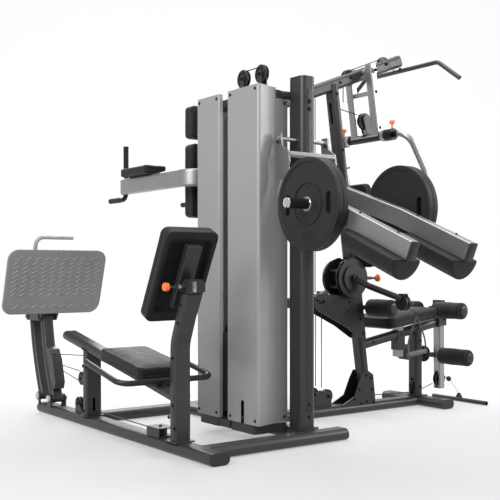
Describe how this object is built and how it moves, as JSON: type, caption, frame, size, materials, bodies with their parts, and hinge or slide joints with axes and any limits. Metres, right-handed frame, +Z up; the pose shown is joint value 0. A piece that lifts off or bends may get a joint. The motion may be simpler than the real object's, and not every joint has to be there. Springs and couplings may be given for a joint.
{
  "type": "multi station home gym",
  "caption": "Multi station home gym: leg press, knee raise, plate loaded squat lever, lat and press tower with seat, leg extension and cable arms",
  "frame": {"origin": "middle of the bounding box, on the floor plane", "axes": "+Z up; +Y from the leg press back rest towards its foot plate, the long side of the gym; +X from the leg press towards the seat and low pulley"},
  "size_m": [2.793, 2.8631, 2.3018],
  "materials": {
    "painted_metal_dark": "satin",
    "painted_metal_silver": "satin",
    "shroud_steel": "satin",
    "grey_metal": "satin",
    "bright_steel": "polished",
    "stack_iron": "matte",
    "pad_vinyl": "satin",
    "foam_rubber": "matte",
    "disc_rubber": "matte",
    "black_plastic": "matte",
    "orange_plastic": "gloss",
    "cable_black": "satin"
  },
  "bodies": {
    "frame": {"leg_press_rail": "painted_metal_dark", "front_cross_rail": "painted_metal_dark", "back_cross_rail": "painted_metal_dark", "tower_rail": "painted_metal_dark", "t_foot_rail": "painted_metal_dark", "right_rail": "painted_metal_dark", "rail_end_caps": "black_plastic", "front_post": "painted_metal_dark", "rear_post": "painted_metal_dark", "tower_top_beam": "painted_metal_dark", "near_shroud": "shroud_steel", "far_shroud": "shroud_steel", "stack_bases": "painted_metal_dark", "fixed_weight_plates": "stack_iron", "vkr_post": "painted_metal_dark", "vkr_arm_near": "painted_metal_silver", "vkr_arm_far": "painted_metal_silver", "vkr_pads": "pad_vinyl", "leg_press_back_post": "painted_metal_dark", "lp_seat_frame": "painted_metal_dark", "lp_seat_pad": "pad_vinyl", "lp_side_handles": "painted_metal_dark", "boom": "painted_metal_dark", "right_column": "painted_metal_dark", "column_gussets": "painted_metal_dark", "station_back_pad": "pad_vinyl", "frame_rollers": "foam_rubber", "frame_pulleys": "black_plastic", "pulley_brackets": "painted_metal_dark", "cables": "cable_black", "seat_frame": "painted_metal_dark", "rods_and_shafts": "bright_steel", "low_bar": "painted_metal_dark"},
    "near_stack": {"near_lift_plates": "stack_iron"},
    "far_stack": {"far_lift_plates": "stack_iron"},
    "top_pulley_a": {"top_pulley_near": "black_plastic"},
    "top_pulley_b": {"top_pulley_far": "black_plastic"},
    "lp_front_link": {"lp_front_arm": "painted_metal_dark"},
    "lp_rear_link": {"lp_rear_arm": "painted_metal_dark"},
    "lp_foot_carriage": {"footplate": "grey_metal", "footplate_frame": "painted_metal_dark"},
    "lp_back_rest": {"lp_back_pad": "pad_vinyl", "lp_back_slide": "painted_metal_dark"},
    "lp_back_pin": {"lp_back_knob": "orange_plastic"},
    "press_arm": {"press_frame": "painted_metal_silver", "press_handles": "painted_metal_silver", "press_knobs": "orange_plastic"},
    "leg_extension": {"leg_extension_arm": "painted_metal_silver", "leg_extension_rollers": "foam_rubber"},
    "seat": {"seat_post": "painted_metal_silver", "seat_pad": "pad_vinyl"},
    "lat_handle": {"lat_bar": "painted_metal_dark"},
    "cable_arm_a": {"cable_arm_near": "painted_metal_dark"},
    "cable_arm_b": {"cable_arm_far": "painted_metal_dark"},
    "squat_lever": {"squat_near_arm": "painted_metal_silver", "squat_far_arm": "painted_metal_silver", "plate_sleeves": "bright_steel", "shoulder_pads": "pad_vinyl"},
    "discs_near": {"near_discs": "disc_rubber"},
    "discs_far": {"far_discs": "disc_rubber"}
  },
  "joints": [
    {"name": "near_stack_lift", "type": "slide", "parent": "frame", "child": "near_stack", "axis": [0, 0, 1], "range_m": [0, 0.6]},
    {"name": "far_stack_lift", "type": "slide", "parent": "frame", "child": "far_stack", "axis": [0, 0, 1], "range_m": [0, 0.6]},
    {"name": "top_pulley_near_spin", "type": "hinge", "parent": "frame", "child": "top_pulley_a", "pos_m": [-0.4895, -0.2615, 1.95], "axis": [1, 0, 0], "continuous": true},
    {"name": "top_pulley_far_spin", "type": "hinge", "parent": "frame", "child": "top_pulley_b", "pos_m": [-0.4895, -0.0975, 1.95], "axis": [1, 0, 0], "continuous": true},
    {"name": "leg_press_swing", "type": "hinge", "parent": "frame", "child": "lp_front_link", "pos_m": [-1.0735, 1.0765, 0.102], "axis": [-1, 0, 0], "range_deg": [0, 30]},
    {"name": "leg_press_rear_swing", "type": "hinge", "parent": "frame", "child": "lp_rear_link", "pos_m": [-1.0735, 1.2465, 0.102], "axis": [-1, 0, 0], "range_deg": [0, 30]},
    {"name": "footplate_level", "type": "hinge", "parent": "lp_front_link", "child": "lp_foot_carriage", "pos_m": [-1.0735, 1.2315, 0.602], "axis": [-1, 0, 0], "range_deg": [-30, 0]},
    {"name": "back_rest_slide", "type": "slide", "parent": "frame", "child": "lp_back_rest", "axis": [0, 1, 0], "range_m": [0, 0.08]},
    {"name": "back_rest_pin_pull", "type": "slide", "parent": "frame", "child": "lp_back_pin", "axis": [-1, 0, 0], "range_m": [0, 0.015], "stiffness_N_per_m": 600},
    {"name": "press_arm_swing", "type": "hinge", "parent": "frame", "child": "press_arm", "pos_m": [0.5355, 0.0595, 2.141], "axis": [0, -1, 0], "range_deg": [0, 40]},
    {"name": "leg_extension_swing", "type": "hinge", "parent": "frame", "child": "leg_extension", "pos_m": [1.2685, 0.0595, 0.566], "axis": [0, -1, 0], "range_deg": [0, 55]},
    {"name": "seat_height", "type": "slide", "parent": "frame", "child": "seat", "axis": [0, 0, 1], "range_m": [0, 0.08]},
    {"name": "lat_bar_swivel", "type": "hinge", "parent": "frame", "child": "lat_handle", "pos_m": [0.8945, 0.0595, 2.204], "axis": [0, 0, 1], "range_deg": [-30, 30]},
    {"name": "cable_arm_near_tilt", "type": "hinge", "parent": "frame", "child": "cable_arm_a", "pos_m": [0.4055, -0.0185, 0.845], "axis": [0, -1, 0], "range_deg": [-20, 60]},
    {"name": "cable_arm_far_tilt", "type": "hinge", "parent": "frame", "child": "cable_arm_b", "pos_m": [0.4055, 0.1375, 0.845], "axis": [0, -1, 0], "range_deg": [-20, 60]},
    {"name": "squat_lever_lift", "type": "hinge", "parent": "frame", "child": "squat_lever", "pos_m": [-0.3595, -0.4435, 1.58], "axis": [-1, 0, 0], "range_deg": [0, 45]},
    {"name": "near_discs_load", "type": "slide", "parent": "squat_lever", "child": "discs_near", "axis": [-1, 0, 0], "range_m": [0, 0.2]},
    {"name": "far_discs_load", "type": "slide", "parent": "squat_lever", "child": "discs_far", "axis": [1, 0, 0], "range_m": [0, 0.2]}
  ],
  "couplings": [
    {"joint": "leg_press_rear_swing", "follows": "leg_press_swing", "ratio": 1},
    {"joint": "footplate_level", "follows": "leg_press_swing", "ratio": -1},
    {"joint": "far_stack_lift", "follows": "leg_press_swing", "m_per_rad": 0.8},
    {"joint": "near_stack_lift", "follows": "press_arm_swing", "m_per_rad": 0.55}
  ]
}
